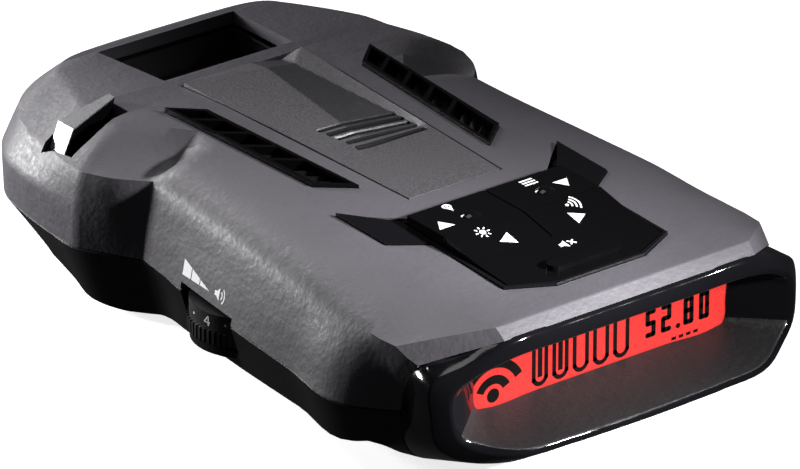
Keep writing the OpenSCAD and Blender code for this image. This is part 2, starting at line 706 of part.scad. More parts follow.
module case_screws() {
    color("#5a5a5e") at_each_pair(case_screw_spots) difference() {
        union() {
            translate([0, 0, 0.8]) cylinder(r = 2.3, h = 1.75);
            translate([0, 0, 0.8]) cylinder(r = 0.9, h = 13);
        }
        for (a = [0, 90]) rotate([0, 0, a]) translate([-1.3, -0.25, 0.5]) cube([2.6, 0.5, 1.1]);
    }
}

module label_plate() {
    color("#c7c7c9") translate([-20, -18, 0.15]) cube([40, 26, 0.4]);
}

top_cover();
bottom_cover();
rear_bezel();
front_window();
gps_plate();
left_vent_grille();
right_vent_grille();
button_surround();
mark_button();
menu_button();
dim_button();
sen_button();
mute_button();
plunger(0);  // mark_plunger
plunger(1);  // menu_plunger
plunger(2);  // dim_plunger
plunger(3);  // sen_plunger
plunger(4);  // mute_plunger
tact_switches();
keypad_board();
keypad_screws();
mount_socket();
release_lever();
latch_hook();
latch_spring();
volume_wheel();
volume_shaft();
volume_pot();
display_window();
display_panel();
display_holder();
display_board();
display_flex();
main_board();
board_chips();
board_screws();
antenna_horn();
horn_lens();
rf_board();
rf_shield();
laser_sensor();
laser_lenses();
gps_board();
gps_antenna();
speaker_frame();
speaker_cone();
speaker_magnet();
power_jack();
audio_jack();
usb_port();
case_screws();
label_plate();
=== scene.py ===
"""Windshield radar detector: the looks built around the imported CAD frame.

Lengths are in mm until a mesh is made.
"""
import json
import math

import bmesh
import bpy
import numpy as np
from mathutils import Matrix, Vector
from mathutils.bvhtree import BVHTree


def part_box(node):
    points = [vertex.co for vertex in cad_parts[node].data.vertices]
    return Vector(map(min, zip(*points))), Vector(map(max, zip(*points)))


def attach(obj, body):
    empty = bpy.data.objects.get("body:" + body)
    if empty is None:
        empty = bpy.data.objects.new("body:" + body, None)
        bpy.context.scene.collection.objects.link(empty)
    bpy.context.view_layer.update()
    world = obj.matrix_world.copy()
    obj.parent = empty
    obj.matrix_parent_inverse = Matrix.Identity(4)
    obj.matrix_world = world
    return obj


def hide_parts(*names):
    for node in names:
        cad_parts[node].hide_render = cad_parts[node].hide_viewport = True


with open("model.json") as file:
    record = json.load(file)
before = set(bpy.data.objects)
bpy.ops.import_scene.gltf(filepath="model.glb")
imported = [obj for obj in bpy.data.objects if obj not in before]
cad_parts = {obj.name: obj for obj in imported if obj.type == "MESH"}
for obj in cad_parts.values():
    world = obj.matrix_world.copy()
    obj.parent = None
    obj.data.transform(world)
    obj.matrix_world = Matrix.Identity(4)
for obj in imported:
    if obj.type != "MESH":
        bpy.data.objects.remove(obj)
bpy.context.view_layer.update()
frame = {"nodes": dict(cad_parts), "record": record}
nodes = frame["nodes"]
scene = bpy.context.scene
MM = 0.001

# ---- Meshes ----


def new_piece(name, verts, faces, body="housing", replaces=(), mat=None, smooth=35):
    """A mesh object from points in mm, closed and facing outward, that rides on a CAD body."""
    mesh = bpy.data.meshes.new(name)
    mesh.from_pydata([tuple(float(c) * MM for c in v) for v in verts], [], [list(map(int, f)) for f in faces])
    obj = bpy.data.objects.new(name, mesh)
    scene.collection.objects.link(obj)
    tidy(obj, smooth)
    if mat:
        obj.data.materials.append(mat)
    if body:
        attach(obj, body)
    if replaces:
        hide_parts(*replaces)
    return obj


def tidy(obj, smooth):
    """Merges doubled points, turns faces outward and shades smoothly below an angle."""
    bm = bmesh.new()
    bm.from_mesh(obj.data)
    bmesh.ops.remove_doubles(bm, verts=bm.verts, dist=1e-7)
    bmesh.ops.recalc_face_normals(bm, faces=bm.faces)
    limit = math.radians(smooth)
    for f in bm.faces:
        f.smooth = smooth > 0
    for e in bm.edges:
        e.smooth = len(e.link_faces) == 2 and e.calc_face_angle(0) < limit
    bm.to_mesh(obj.data)
    bm.free()


def bake_modifiers(obj):
    """Replaces the object's mesh with what its modifiers make of it."""
    bpy.context.view_layer.update()
    graph = bpy.context.evaluated_depsgraph_get()
    made = bpy.data.meshes.new_from_object(obj.evaluated_get(graph))
    obj.modifiers.clear()
    obj.data = made


def cut(obj, cutters, operation="DIFFERENCE"):
    """Cuts the object with each cutter in turn, and removes the cutters."""
    for c in cutters:
        m = obj.modifiers.new("cut", "BOOLEAN")
        m.object, m.operation, m.solver = c, operation, "EXACT"
        bake_modifiers(obj)
        bpy.data.objects.remove(c)


def tube_faces(n):
    """Faces of a closed bar between two matching outlines of n points."""
    sides = [[i, (i + 1) % n, n + (i + 1) % n, n + i] for i in range(n)]
    return [list(range(n))[::-1], [n + i for i in range(n)]] + sides


def prism(points, z0, z1):
    """Upright prism over a plan outline, as an unattached object for cutting."""
    verts = [(x, y, z) for z in (z0, z1) for x, y in points]
    return new_piece("cutter", verts, tube_faces(len(points)), body=None, smooth=0)


def block(lo, hi):
    (x0, y0, z0), (x1, y1, z1) = lo, hi
    return prism([(x0, y0), (x1, y0), (x1, y1), (x0, y1)], z0, z1)


def circle(cx, cy, radius, sides):
    """Points of a circle, in order."""
    turns = np.linspace(0, 2 * math.pi, sides, False)
    return [(cx + radius * math.cos(a), cy + radius * math.sin(a)) for a in turns]


ROD_SIDES = 48


def rod(centre, radius, length, axis="Z"):
    """Round bar that starts at centre and runs along an axis, for cutting."""
    turn = {"Z": Matrix.Identity(3), "X": Matrix.Rotation(math.pi / 2, 3, "Y")}[axis]
    ring = circle(0, 0, radius, ROD_SIDES)
    verts = [turn @ Vector((x, y, h)) + Vector(centre) for h in (0, length) for x, y in ring]
    return new_piece("cutter", verts, tube_faces(ROD_SIDES), body=None, smooth=0)


def spline(knots, corners, steps, mirror_ends=False):
    """A smooth line through knots along the first axis, straight-sided at the indices in corners."""
    p = np.asarray(knots, float)
    d = np.maximum(np.linalg.norm(np.diff(p, axis=0), axis=-1, keepdims=True), 1e-6)
    slope = np.diff(p, axis=0) / d
    into, out = np.concatenate([slope[:1], slope]), np.concatenate([slope, slope[-1:]])
    for i in range(1, len(p) - 1):
        if i not in corners:
            into[i] = out[i] = (slope[i - 1] * d[i] + slope[i] * d[i - 1]) / (d[i - 1] + d[i])
    if mirror_ends:
        out[0], into[-1] = np.array([1.0, 0, 0]), np.array([-1.0, 0, 0])
    rows = []
    for i in range(len(p) - 1):
        for t in np.linspace(0, 1, steps, False):
            rows.append((2 * t**3 - 3 * t**2 + 1) * p[i] + (t**3 - 2 * t**2 + t) * d[i] * out[i]
                        + (3 * t**2 - 2 * t**3) * p[i + 1] + (t**3 - t**2) * d[i] * into[i + 1])
    return np.stack(rows + [p[-1]])


def round_half(half, corners, steps):
    """Refines a stack of half loops along their length."""
    return spline(np.swapaxes(np.asarray(half, float), 0, 1), corners, steps, True).swapaxes(0, 1)


def whole(half):
    """Closes half loops, each from the rear centre round the right to the nose, with their mirror."""
    back = half[:, -2:0:-1].copy()
    back[..., 0] *= -1
    return np.concatenate([half, back], axis=1)


def loft(half, caps=True, closed=False):
    """Points and faces of a shell through stacked half loops."""
    rings = whole(half)
    k, m = rings.shape[:2]
    rows = k if closed else k - 1
    faces = []
    for r in range(rows):
        for j in range(m):
            a, b = r * m + j, r * m + (j + 1) % m
            c, d = ((r + 1) % k) * m + (j + 1) % m, ((r + 1) % k) * m + j
            faces.append([a, b, c, d])
    if caps:
        for base in (0, (k - 1) * m):
            for i in range(m // 2):
                quad = [base + i, base + i + 1, base + (m - i - 1) % m, base + (m - i) % m]
                faces.append(list(dict.fromkeys(quad)))
    return rings.reshape(-1, 3), faces


def inset(ring, d, z):
    """A half loop moved inward by d in plan, at height z."""
    ahead, behind = np.roll(ring, -1, axis=0), np.roll(ring, 1, axis=0)
    t = ahead - behind
    t[0], t[-1] = [1, 0, 0], [-1, 0, 0]
    t[:, 2] = 0
    t /= np.maximum(np.linalg.norm(t, axis=1, keepdims=True), 1e-6)
    out = ring + d * np.stack([-t[:, 1], t[:, 0], 0 * t[:, 0]], axis=1)
    out[:, 0] = np.maximum(out[:, 0], 0)
    out[0, 0] = out[-1, 0] = 0
    out[:, 2] = z
    return out


# ---- Materials ----


def shader(name, color, rough, metallic=0.0, coat=0.0, specular=0.5, coat_rough=0.06):
    m = bpy.data.materials.new(name)
    m.use_nodes = True
    b = m.node_tree.nodes["Principled BSDF"]
    b.inputs["Base Color"].default_value = (*color, 1)
    b.inputs["Roughness"].default_value = rough
    b.inputs["Metallic"].default_value = metallic
    b.inputs["Coat Weight"].default_value = coat
    b.inputs["Coat Roughness"].default_value = coat_rough
    b.inputs["Specular IOR Level"].default_value = specular
    return m


def noise(m, scale, detail=2.0, kind="ShaderNodeTexNoise", stretch=(1, 1, 1)):
    """A texture over the object's own coordinates. Returns its value socket."""
    tree = m.node_tree
    where = tree.nodes.new("ShaderNodeTexCoord")
    mapping = tree.nodes.new("ShaderNodeMapping")
    mapping.inputs["Scale"].default_value = stretch
    tex = tree.nodes.new(kind)
    tex.inputs["Scale"].default_value = scale
    if kind == "ShaderNodeTexNoise":
        tex.inputs["Detail"].default_value = detail
    tree.links.new(where.outputs["Object"], mapping.inputs["Vector"])
    tree.links.new(mapping.outputs["Vector"], tex.inputs["Vector"])
    return tex.outputs["Fac"] if "Fac" in tex.outputs else tex.outputs["Distance"]


def vary(m, source, target, low, high):
    """Spreads a texture's value between two values, or two colours, of a shader input."""
    tree = m.node_tree
    b = tree.nodes["Principled BSDF"]
    if isinstance(low, tuple):
        ramp = tree.nodes.new("ShaderNodeValToRGB")
        ramp.color_ramp.elements[0].position, ramp.color_ramp.elements[1].position = 0.3, 0.7
        ramp.color_ramp.elements[0].color, ramp.color_ramp.elements[1].color = (*low, 1), (*high, 1)
        tree.links.new(source, ramp.inputs["Fac"])
        tree.links.new(ramp.outputs["Color"], b.inputs[target])
    else:
        span = tree.nodes.new("ShaderNodeMapRange")
        span.inputs["From Min"].default_value, span.inputs["From Max"].default_value = 0.3, 0.7
        span.inputs["To Min"].default_value, span.inputs["To Max"].default_value = low, high
        tree.links.new(source, span.inputs["Value"])
        tree.links.new(span.outputs["Result"], b.inputs[target])


def bump(m, sources, depth):
    """Adds relief from weighted textures, with depth in mm."""
    tree = m.node_tree
    total = None
    for socket, weight in sources:
        part = tree.nodes.new("ShaderNodeMath")
        part.operation = "MULTIPLY"
        part.inputs[1].default_value = weight
        tree.links.new(socket, part.inputs[0])
        if total is None:
            total = part.outputs[0]
        else:
            add = tree.nodes.new("ShaderNodeMath")
            tree.links.new(total, add.inputs[0])
            tree.links.new(part.outputs[0], add.inputs[1])
            total = add.outputs[0]
    node = tree.nodes.new("ShaderNodeBump")
    node.inputs["Strength"].default_value = 1.0
    node.inputs["Distance"].default_value = depth * MM
    tree.links.new(total, node.inputs["Height"])
    tree.links.new(node.outputs["Normal"], tree.nodes["Principled BSDF"].inputs["Normal"])


def moulded(name, color, rough, grain=2600, depth=0.05, **kw):
    """Textured plastic: fine grain, a coarser pebble and slight colour drift."""
    m = shader(name, color, rough, **kw)
    fine, coarse = noise(m, grain), noise(m, grain * 0.36, 1.0)
    bump(m, [(fine, 1.0), (coarse, 1.3)], depth)
    vary(m, noise(m, grain * 0.9), "Roughness", rough - 0.07, rough + 0.07)
    vary(m, noise(m, 60, 3.0), "Base Color", tuple(c * 0.93 for c in color), tuple(c * 1.07 for c in color))
    return m


def polished(name, color, rough=0.08, coat=0.6, **kw):
    """Smooth plastic with faint moulding ripple and handling haze."""
    m = shader(name, color, rough, coat=coat, **kw)
    bump(m, [(noise(m, 90, 1.0), 1.0)], 0.02)
    vary(m, noise(m, 350, 4.0), "Roughness", rough * 0.7, rough * 1.6)
    return m


def metal(name, color, rough, stretch=(1, 1, 14)):
    m = shader(name, color, rough, metallic=1.0)
    lines = noise(m, 900, 3.0, stretch=stretch)
    vary(m, lines, "Roughness", rough * 0.75, rough * 1.3)
    bump(m, [(lines, 1.0)], 0.01)
    return m


def sparkle(name, color, rough):
    """Metallic paint: flakes of differing tilt and brightness under a clear coat."""
    m = shader(name, color, rough, metallic=0.5, coat=0.15, coat_rough=0.3)
    flakes = noise(m, 5200, 1.0)
    bump(m, [(flakes, 1.0), (noise(m, 1600, 1.0), 0.5)], 0.05)
    vary(m, noise(m, 4200, 0.0), "Base Color", tuple(c * 0.72 for c in color), tuple(c * 1.4 for c in color))
    return m


def board(name, color):
    """Solder mask over etched tracks."""
    m = shader(name, color, 0.35, coat=0.3)
    tracks = noise(m, 1, 0.0, "ShaderNodeTexVoronoi", (420, 300, 420))
    vary(m, tracks, "Base Color", tuple(c * 0.6 for c in color), tuple(c * 1.5 for c in color))
    bump(m, [(tracks, 1.0)], 0.05)
    return m


CHARCOAL = (0.071, 0.066, 0.076)
BLACK = (0.004, 0.004, 0.005)
mats = {
    "case_top": moulded("soft_charcoal", CHARCOAL, 0.52, 1300, 0.06, specular=0.3),
    "case_bottom": moulded("satin_black", (0.008, 0.008, 0.009), 0.34, 3000, 0.012, specular=0.3),
    "gloss_black": polished("gloss_black", BLACK, 0.08, 0.0, specular=0.35),
    "hood_lining": moulded("hood_lining", (0.012, 0.0117, 0.0125), 0.5, 1700, 0.08, specular=0.35),
    "button_black": polished("button_black", (0.002, 0.002, 0.0023), 0.07, 0.0, specular=0.3),
    "plate_metallic": sparkle("plate_sparkle", (0.1, 0.095, 0.103), 0.46),
    # Half-bright copy of the plate's sparkle: painted shade for the wedge facet
    "plate_painted_shade": sparkle("plate_painted_shade", (0.05, 0.047, 0.052), 0.46),
    "tinted_window": polished("tinted_window", (0.03, 0.004, 0.006), 0.05, 0.4),
    "white_plastic": moulded("acetal", (0.72, 0.7, 0.64), 0.4, 1500, 0.01),
    "dark_plastic": moulded("dark_plastic", (0.014, 0.014, 0.015), 0.55, 2600, 0.04),
    "groove_black": moulded("groove_black", (0.003, 0.003, 0.0032), 0.6, 2600, 0.02, specular=0.08),
    "lever_silver": moulded("lever_paint", (0.25, 0.246, 0.256), 0.32, 3000, 0.015, metallic=0.4),
    "wheel_rubber": moulded("wheel_black", (0.012, 0.012, 0.013), 0.42, 3000, 0.02),
    "steel": metal("steel", (0.55, 0.55, 0.57), 0.28),
    "black_steel": metal("black_zinc", (0.06, 0.06, 0.065), 0.34),
    "circuit_board": board("solder_mask", (0.012, 0.09, 0.04)),
    "keypad_mask": board("keypad_mask", (0.008, 0.008, 0.009)),
    "flex_copper": moulded("polyimide", (0.4, 0.17, 0.03), 0.3, 900, 0.01),
    "cast_zinc": metal("cast_zinc", (0.42, 0.43, 0.44), 0.45, (1, 1, 1)),
    "tin_plate": metal("tin_plate", (0.6, 0.61, 0.62), 0.22, (1, 1, 1)),
    "ceramic": moulded("ceramic", (0.6, 0.52, 0.4), 0.5, 1200, 0.02),
    "paper_cone": moulded("paper_cone", (0.04, 0.034, 0.028), 0.8, 1400, 0.08),
    "label_silver": moulded("label_foil", (0.5, 0.5, 0.52), 0.38, 500, 0.01, metallic=0.3),
    "print_white": moulded("white_print", (0.85, 0.85, 0.85), 0.5, 4000, 0.005),
    "print_black": polished("display_ink", (0.002, 0.0015, 0.0015), 0.5, 0.0, specular=0.05),
}


def lit_red():
    """The lit display: an even red glow with a faint cell grid."""
    m = shader("display_red", (0.12, 0.005, 0.005), 0.35, specular=0.1)
    cells = noise(m, 1, 0.0, "ShaderNodeTexVoronoi", (3000, 3000, 3000))
    vary(m, cells, "Emission Color", (0.72, 0.035, 0.03), (0.8, 0.055, 0.045))
    m.node_tree.nodes["Principled BSDF"].inputs["Emission Strength"].default_value = 1.0
    return m


mats["display_red"] = lit_red()
for entry in frame["record"]["subparts"]:
    node = nodes[entry["node"]]
    node.data.materials.clear()
    node.data.materials.append(mats[entry["material_slot"]])
nodes["keypad_board"].material_slots[0].material = mats["keypad_mask"]


EDGE_SEGMENTS = 3


def round_edges(obj, width, angle):
    """Adds a rounding of the edges that turn by more than an angle, with width in mm."""
    m = obj.modifiers.new("edges", "BEVEL")
    m.width, m.segments = width * MM, EDGE_SEGMENTS
    m.limit_method, m.angle_limit = "ANGLE", math.radians(angle)


def soften(name, width):
    """Rounds a CAD node's edges and shades it by angle."""
    obj = nodes[name]
    round_edges(obj, width, 30)
    for p in obj.data.polygons:
        p.use_smooth = True
    m = obj.modifiers.new("shade", "WEIGHTED_NORMAL")
    m.keep_sharp = True


# ---- Case skins: half loops from the rear centre round the right side to the nose ----

PART_Z = 12
side_y = np.array([-43, -27, -11, 7, 18, 23, 29, 36, 44.0])
part_x = np.array([41.1, 40, 38.6, 36.6, 35.2, 38, 41.1, 40.9, 40.1])
edge_x = np.array([36.9, 36.2, 34.8, 33.2, 33, 37, 39.4, 38.8, 36.8])
edge_z = np.array([23.8, 24.2, 24.8, 25.4, 25.4, 25.2, 24.9, 24.8, 24.8])
deck_x = np.array([24.4, 23, 22, 21, 21.2, 25, 29, 29, 28.2])
deck_y = np.array([-43, -27, -11, 7, 22, 27, 32.5, 38, 44.0])
bevel_z = np.array([4.8, 4.1, 3.5, 2.7, 1.5, 1, 1.6, 2.4, 3.2])
bevel_x = part_x - np.array([0.3, 0.3, 0.29, 0.28, 0.25, 0.24, 0.33, 0.47, 0.58]) * (PART_Z - bevel_z)
floor_x = bevel_x - 0.8 - 1.7 * bevel_z
floor_y = np.array([-33, -27, -11, 7, 18, 23, 29, 36, 44.0])


def deck_z(y):
    """Height of the deck's edge along the case."""
    return np.interp(y, [-62, -30, -6, 28, 44, 62], [27.6, 28.9, 29.3, 29.7, 29.2, 28.4])


def side(xs, zs, ys=side_y):
    """Side stretch of a loop, one point a station."""
    return np.stack([xs, ys, np.broadcast_to(zs, xs.shape)], axis=1)


def nose(a, y0, b, n, z):
    """Front of a loop: a superellipse of half width a and length b, with exponent n, from y0 forward."""
    t = np.radians([18, 28, 38, 48, 58, 68, 79, 90])
    x = a * np.maximum(np.cos(t), 0) ** (2 / n)
    y = y0 + b * np.sin(t) ** (2 / n)
    return np.stack([x, y, 0 * t + z], axis=1)


deck_tip = nose(23.3, 46, 16, 6, 0)
deck_tip[:, 2] = deck_z(deck_tip[:, 1])
brow = {
    "deck": [[0, -61.45, 27.65], [13, -61.4, 27.65], [25.3, -61.2, 27.65], [25.3, -57, 27.7],
             [25.1, -52.5, 27.9], [24.7, -48, 28.1]],
    "edge": [[0, -61.6, 27.6], [13, -61.55, 27.6], [25.5, -61.5, 27.6], [31.8, -55.8, 25.6],
             [36.8, -50.9, 23.7], [37.1, -47, 23.7]],
    "wall": [[0, -62.6, 26.6], [13, -62.6, 26.6], [25.3, -62.6, 26.6], [31.4, -57.5, 24.4],
             [36.2, -53, 22.4], [36.8, -49.5, 18.5]],
    "part": [[0, -63.3, 25.9], [13, -63.3, 25.9], [25.2, -63.3, 25.9], [31, -58.6, 23.5],
             [35.5, -54.9, 21.5], [35.6, -50.5, PART_Z]],
}
WALL_Z, WALL_SHARE = 19, 0.42
wall_bulge = np.array([0.5] * 7 + [0.9, 2])
wall_x = part_x * WALL_SHARE + edge_x * (1 - WALL_SHARE) + wall_bulge
part_nose = nose(40, 42, 27, 2.4, PART_Z)
loops_top = [
    np.concatenate([brow["deck"], side(deck_x, deck_z(deck_y), deck_y), deck_tip]),
    np.concatenate([brow["edge"], side(edge_x, edge_z), nose(36.9, 43.5, 25.2, 2.2, 24.8)]),
    np.concatenate([brow["wall"], side(wall_x, WALL_Z), nose(40.2, 42, 27, 2.4, WALL_Z)]),
    np.concatenate([brow["part"], side(part_x, PART_Z), part_nose]),
]
COLUMNS = 6
BROW_CORNER, CHEEK_TOP, CHEEK_END, WAIST_CREASE, HEAD_CREASE, HEAD_CORNER = 2, 4, 5, 10, 12, 14
top_corners = [BROW_CORNER, CHEEK_TOP, CHEEK_END, WAIST_CREASE, HEAD_CREASE, HEAD_CORNER]
outer = round_half(loops_top, top_corners, COLUMNS)
centre_line = outer[0] * np.array([0.8, 1, 1])
stack = np.concatenate([centre_line[None], outer])
ROWS = 6
soft = spline(stack, [], ROWS)[ROWS:]
crisp = spline(stack, [1, 2, 3], ROWS)[ROWS:]
# Share of rounding over the deck's edge, from none at the rear to most along the waist
station = np.arange(outer.shape[1]) / COLUMNS
softness = np.interp(station, [0, 4, 7, 10, 13, 15], [0, 0, 1, 0.9, 0.4, 0.12])[None, :, None]
skin = crisp * (1 - softness) + soft * softness
# Hollow where the waist runs up into the head, between these three y
SCOOP, SCOOP_Y = 3.6, [16.5, 20.5, 30.5]
hollow = SCOOP * np.sin(np.linspace(0, math.pi, ROWS + 1))[:, None]
skin[:ROWS + 1, :, 2] -= hollow * np.interp(skin[:ROWS + 1, :, 1], SCOOP_Y, [0, 1, 0])
# Inside, from the joint line up: how far in and how far down from each outer loop
inner = [inset(outer[3 - k], wall, np.maximum(outer[3 - k][:, 2] - drop, PART_Z + (k > 0)))
         for k, (wall, drop) in enumerate([(2, 1), (2, 1.3), (1.8, 1.8), (1.5, 2.2)])]
verts, faces = loft(np.concatenate([skin, np.stack(inner)]))
case_top = new_piece("case_top", verts, faces, mat=mats["case_top"], replaces=["top_cover"])


SOCKET_PLAN = [(-13.2, 42), (13.2, 42), (14.1, 59.8), (-14.1, 59.8)]
# In the outlines below, g is how far an outline is grown and s is -1 on the left or 1 on the right


def keypad_outline(g):
    right = [(15.6 + g, -26.3 + g), (15.6 + g, -51.8 - g / 2), (8.4 + g / 2, -55 - g)]
    return right + [(-x, y) for x, y in right[::-1]]


def wing_outline(g, s):
    return [(s * x, y) for x, y in [(12, -26.3 + g), (22.5 + g, -16.9 + 2 * g), (22.5 + g, -29.8 - g / 2),
                                   (16 + g, -34.2 - g), (12, -34.2 - g)]]


def plate_outline(g):
    return [(-9.2 - g, -18.8 - g), (9.2 + g, -18.8 - g), (12.1 + g, 38.1 + g), (-12.1 - g, 38.1 + g)]


def vent_outline(g, s):
    pts = [(13.3 - g * 0.8, -11 - g * 1.6), (19.1 + g, -6.2 - g * 0.3), (21.1 + g * 0.8, 31 + g * 1.6),
           (15.9 - g, 26.3 + g * 0.3)]
    return [(s * x, y) for x, y in pts]


ABOVE_CASE = 40
LEFT, RIGHT = -1, 1
INLET_OPENING = (33, -4.15, 5.85), (46, 8.15, 16.15)
FRONT_WINDOW = (-13.7, 60, 13.3), (13.7, 72, 19.7)
cutters = [prism(SOCKET_PLAN, 10, ABOVE_CASE), prism(keypad_outline(1.05), 10, ABOVE_CASE)]
cutters.append(prism(plate_outline(0.35), 28.2, ABOVE_CASE))
for s in (LEFT, RIGHT):
    cutters += [prism(wing_outline(0.15, s), 20, ABOVE_CASE), prism(vent_outline(0.1, s), 26, ABOVE_CASE)]
lever_slot = [(-25.2, 35.3), (-34.6, 33.4), (-38.2, 33.4), (-38.2, 42.1), (-34.6, 42.4), (-25.2, 41.7)]
cutters += [prism(lever_slot, 22, 32), block((-46, -10.3, 5), (-33, 5.7, 13.2)),
            block(*FRONT_WINDOW), block(*INLET_OPENING)]
cut(case_top, cutters)
tidy(case_top, 32)

# Lower shell, with a step along its rim that shadows the joint line
RIM = 0.35
rear_rows = {
    "rim": [[0, -50.5, 1.2], [14, -50.5, 1.2], [28, -50.5, 1.5], [32.5, -50.5, 3.2], [34.8, -50.5, 6.2],
            [35.6, -50.5, PART_Z]],
    "bevel": [[0, -48.5, 0.7], [14, -48.5, 0.7], [28, -48.3, 1], [32.8, -47.4, 2.6], [35.7, -46.3, 4.4],
              [37.6, -45, 5.2]],
    "floor": [[0, -42.4, 0], [14, -42.1, 0], [26, -41.5, 0], [27.6, -40, 0], [28.5, -38, 0], [29, -35.5, 0]],
}
loops_low = round_half([
    np.concatenate([rear_rows["floor"], side(floor_x, 0, floor_y), nose(30.6, 42, 18.6, 2.2, 0)]),
    np.concatenate([rear_rows["bevel"], side(bevel_x, bevel_z), nose(34.6, 42, 22.4, 2.15, 3.4)]),
    np.concatenate([rear_rows["rim"], side(part_x, PART_Z), part_nose]),
], [BROW_CORNER, CHEEK_END, HEAD_CORNER], COLUMNS)
low_rim = loops_low[2].copy()
low_rim[CHEEK_END * COLUMNS:, 2] = PART_Z - RIM
inner_rim = inset(low_rim, RIM, 0)
inner_rim[:, 2] = loops_low[2][:, 2]
deep = [inset(loops_low[2], 2, 0), inset(loops_low[1], 2.2, 0), inset(loops_low[0], 0.8, 2)]
deep[0][:, 2] = np.maximum(loops_low[2][:, 2], 3.2)
deep[1][:, 2] = loops_low[1][:, 2] + 2
verts, faces = loft(np.stack([loops_low[0], loops_low[1], low_rim, inner_rim, *deep]))
case_bottom = new_piece("case_bottom", verts, faces, mat=mats["case_bottom"],
                        replaces=["bottom_cover"])
# Openings: wheel, power inlet, label recess, headphone socket, data port and front window
cutters = [block((-46, -10.3, 6.4), (-33, 5.7, 14)), block(*INLET_OPENING),
           block((-20.2, -18.2, -1), (20.2, 8.2, 0.6)), rod((30, -16, 8.8), 2.6, 14, "X"),
           block((30, -33.1, 7), (46, -24.9, 10.2)), block(*FRONT_WINDOW)]
SCREW_HEAD_RADIUS, SCREW_HEAD_DEPTH = 2.6, 3.6
for x, y in [(26, -36), (-26, -36), (30, 30), (-30, 30)]:
    cutters.append(rod((x, y, -1), SCREW_HEAD_RADIUS, SCREW_HEAD_DEPTH))
cut(case_bottom, cutters)
tidy(case_bottom, 30)

# Lip under the volume wheel
WHEEL = Vector((-29.3, -2.7, 0))
profile = [(0, 3.4), (6.6, 3.4), (9.6, 5.2), (9.6, 6.5), (0, 6.5)]
STEPS = 64
verts, faces = [], []
for r, z in profile:
    verts += [(x, y, z) for x, y in circle(WHEEL.x, WHEEL.y, max(r, 1e-4), STEPS)]
for k in range(len(profile) - 1):
    for j in range(STEPS):
        low, high, nxt = k * STEPS, (k + 1) * STEPS, (j + 1) % STEPS
        faces.append([low + j, low + nxt, high + nxt, high + j])
wheel_lip = new_piece("wheel_lip", verts, faces, mat=mats["case_bottom"])
cut(wheel_lip, [block((-44, -14.7, 0), (-34.4, 9.3, 12))], "INTERSECT")
tidy(wheel_lip, 30)

# ---- Display hood ----

# Each loop runs from the top centre round the right side to the bottom centre
hood = [
    # Root under the brow
    [[0, -62.8, 25.95], [13, -62.8, 25.95], [24.9, -62.8, 25.95], [30.6, -58.4, 23.5],
     [34.9, -54.8, 21.5], [35.6, -50.6, PART_Z], [34.8, -50.6, 6.2], [32.5, -50.6, 3.2],
     [28, -50.6, 1.5], [14, -50.6, 1.2], [0, -50.6, 1.2]],
    # Outer edge of the lip
    [[0, -63.7, 25.3], [13, -63.7, 25.3], [25.6, -63.7, 25], [31.4, -61.4, 22.8],
     [36.6, -59.6, 20.4], [37, -60, 14.5], [36.1, -60.4, 9.8], [32.8, -61.6, 7],
     [26.8, -63.8, 5.5], [13.6, -64.8, 5.2], [0, -65, 5.2]],
    # Face of the lip
    [[0, -63.9, 23.6], [13, -63.9, 23.6], [25.6, -63.9, 23.4], [31.2, -62.9, 21.4],
     [34.3, -62.1, 19], [34.7, -62.3, 14.5], [33.8, -62.8, 11.2], [30.6, -64.3, 8.8],
     [25.8, -67, 7.6], [13.5, -68.7, 7.4], [0, -69, 7.4]],
    # Inner edge of the lip
    [[0, -63.7, 22.6], [13, -63.7, 22.6], [25.2, -63.7, 22.4], [30.3, -62.7, 20.7],
     [33.2, -61.9, 18.7], [33.7, -62, 14.5], [32.9, -62.5, 11.8], [29.9, -64, 9.9],
     [25.2, -66.7, 8.7], [13.3, -68.3, 8.5], [0, -68.6, 8.5]],
    # Round the display
    [[0, -56, 20.5], [13, -56, 20.5], [23.6, -56, 20.5], [24.8, -56, 20.2],
     [25.2, -56, 19.4], [25.3, -56, 15], [25.2, -56, 12.2], [24.8, -56, 11.4],
     [23.6, -56, 11.1], [13, -56, 11.1], [0, -56, 11.1]],
    # Behind the display
    [[0, -56, 21.9], [13, -56, 21.9], [24, -56, 21.9], [26, -56, 21.7],
     [26.8, -56, 20.6], [27, -56, 15], [26.8, -56, 11.2], [26.2, -56, 9.8],
     [24.4, -56, 9.4], [13, -56, 9.4], [0, -56, 9.4]],
    # Back of the lip
    [[0, -61.8, 23.7], [13, -61.8, 23.7], [24.5, -61.8, 23.6], [29.6, -59.4, 21.5],
     [34.2, -57.8, 19], [34.8, -58.2, 14.2], [34, -58.6, 10.6], [31.8, -59.6, 8.6],
     [27.2, -61.6, 7.6], [14, -62.2, 7.4], [0, -62.2, 7.4]],
    # Back of the root
    [[0, -61.7, 24.4], [13, -61.7, 24.4], [24.3, -61.7, 24.3], [29.8, -57.6, 21.8],
     [33.6, -54.6, 19.8], [33.8, -50.6, PART_Z], [33, -50.6, 7.4], [31, -50.6, 5],
     [27.2, -50.6, 3.5], [13.6, -50.6, 3.2], [0, -50.6, 3.2]],
]
verts, faces = loft(round_half(hood, [1, 9], COLUMNS), caps=False, closed=True)
hood_piece = new_piece("display_hood", verts, faces, mat=mats["gloss_black"],
                       replaces=["rear_bezel"], smooth=0)
hood_piece.data.materials.append(mats["hood_lining"])
HOOD_AXIS_Z = 0.0155
for face in hood_piece.data.polygons:
    outward = face.normal.x * face.center.x + face.normal.z * (face.center.z - HOOD_AXIS_Z)
    face.material_index = int(outward < 0 and abs(face.normal.y) < 0.7)
round_edges(hood_piece, 0.35, 28)
bake_modifiers(hood_piece)
tidy(hood_piece, 26)

# ---- Deck trim ----

